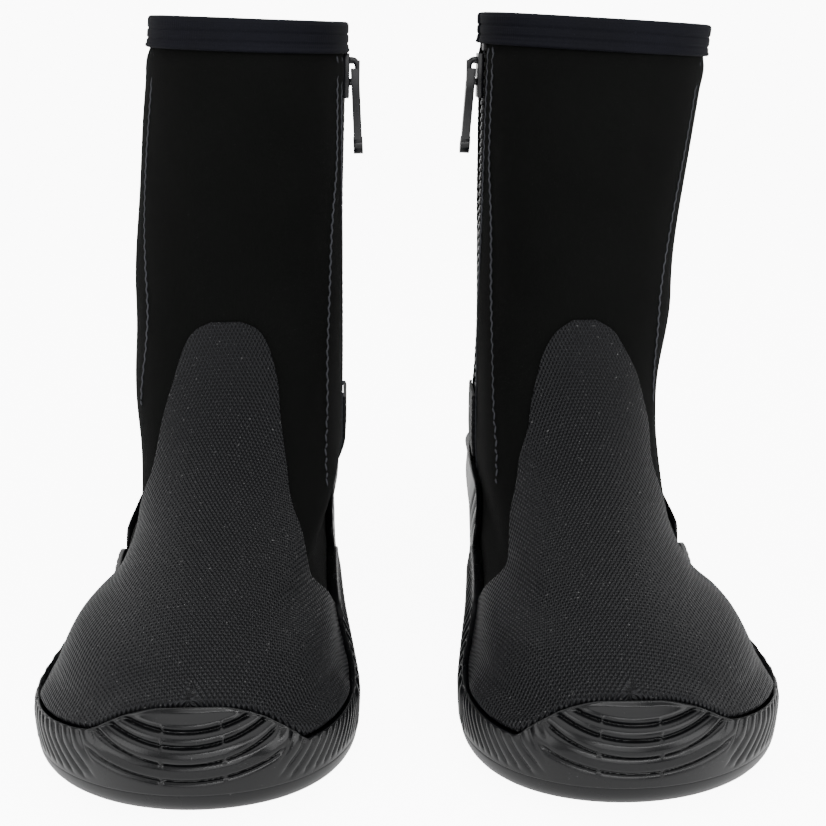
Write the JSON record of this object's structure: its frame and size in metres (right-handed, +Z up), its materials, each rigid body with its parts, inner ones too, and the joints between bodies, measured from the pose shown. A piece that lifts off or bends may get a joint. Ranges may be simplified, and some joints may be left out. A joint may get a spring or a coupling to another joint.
{
  "type": "neoprene boots",
  "caption": "Pair of high neoprene boots with rubber soles, embossed vamp overlays, ribbed toe bumpers and a side zip on each inner side.",
  "frame": {"origin": "middle of the footprint of the pair, on the floor", "axes": "+Z up, the toes point along -Y, +X towards the wearer's left boot"},
  "size_m": [0.2534, 0.2969, 0.2376],
  "materials": {
    "sole_rubber": "satin moulded rubber",
    "vamp_rubber": "matt rubber with an embossed fine diagonal grid",
    "midsole_foam": "matt foam rubber",
    "sock_fabric": "matt textile board",
    "insole_fabric": "matt brushed textile",
    "neoprene": "matt fine knitted jersey over foam",
    "binding": "soft ribbed elastic band",
    "seam_tape": "matt tape",
    "gusset_fabric": "matt jersey",
    "zip_tape": "woven tape",
    "zip_plastic": "moulded plastic",
    "slider_plastic": "moulded plastic"
  },
  "bodies": {
    "right_boot": {"right_outsole": "sole_rubber", "right_midsole": "midsole_foam", "right_sock_sole": "sock_fabric", "right_insole": "insole_fabric", "right_foxing_medial": "sole_rubber", "right_foxing_lateral": "sole_rubber", "right_toe_bumper": "sole_rubber", "right_heel_cap": "sole_rubber", "right_strap_ledge": "sole_rubber", "right_front_panel": "neoprene", "right_rear_panel": "neoprene", "right_vamp_overlay": "vamp_rubber", "right_seam_tape_lateral": "seam_tape", "right_seam_tape_medial": "seam_tape", "right_zip_gusset": "gusset_fabric", "right_zip_end_patch": "vamp_rubber", "right_collar_binding": "binding", "right_zip_teeth_front": "zip_plastic", "right_zip_teeth_rear": "zip_plastic", "right_zip_tape_front": "zip_tape", "right_zip_tape_rear": "zip_tape", "right_zip_top_stops": "zip_plastic", "right_zip_bottom_stop": "zip_plastic"},
    "right_slider": {"right_zip_slider": "slider_plastic"},
    "right_pull": {"right_zip_pull": "slider_plastic"},
    "left_boot": {"left_outsole": "sole_rubber", "left_midsole": "midsole_foam", "left_sock_sole": "sock_fabric", "left_insole": "insole_fabric", "left_foxing_medial": "sole_rubber", "left_foxing_lateral": "sole_rubber", "left_toe_bumper": "sole_rubber", "left_heel_cap": "sole_rubber", "left_strap_ledge": "sole_rubber", "left_front_panel": "neoprene", "left_rear_panel": "neoprene", "left_vamp_overlay": "vamp_rubber", "left_seam_tape_lateral": "seam_tape", "left_seam_tape_medial": "seam_tape", "left_zip_gusset": "gusset_fabric", "left_zip_end_patch": "vamp_rubber", "left_collar_binding": "binding", "left_zip_teeth_front": "zip_plastic", "left_zip_teeth_rear": "zip_plastic", "left_zip_tape_front": "zip_tape", "left_zip_tape_rear": "zip_tape", "left_zip_top_stops": "zip_plastic", "left_zip_bottom_stop": "zip_plastic"},
    "left_slider": {"left_zip_slider": "slider_plastic"},
    "left_pull": {"left_zip_pull": "slider_plastic"}
  },
  "joints": [
    {"name": "left_boot_lift", "type": "slide", "parent": "right_boot", "child": "left_boot", "axis": [0, 0, 1], "range_m": [0, 0.3]},
    {"name": "right_zip_travel", "type": "slide", "parent": "right_boot", "child": "right_slider", "axis": [-0.0236, 0, -0.9997], "range_m": [0, 0.1235]},
    {"name": "right_pull_swing", "type": "hinge", "parent": "right_slider", "child": "right_pull", "pos_m": [-0.0214, 0.077, 0.21519], "axis": [0, -1, 0], "range_deg": [0, 145]},
    {"name": "left_zip_travel", "type": "slide", "parent": "left_boot", "child": "left_slider", "axis": [-0.0081, 0, -1], "range_m": [0, 0.1235]},
    {"name": "left_pull_swing", "type": "hinge", "parent": "left_slider", "child": "left_pull", "pos_m": [0.02872, 0.077, 0.21532], "axis": [0, 1, 0], "range_deg": [0, 145]}
  ]
}
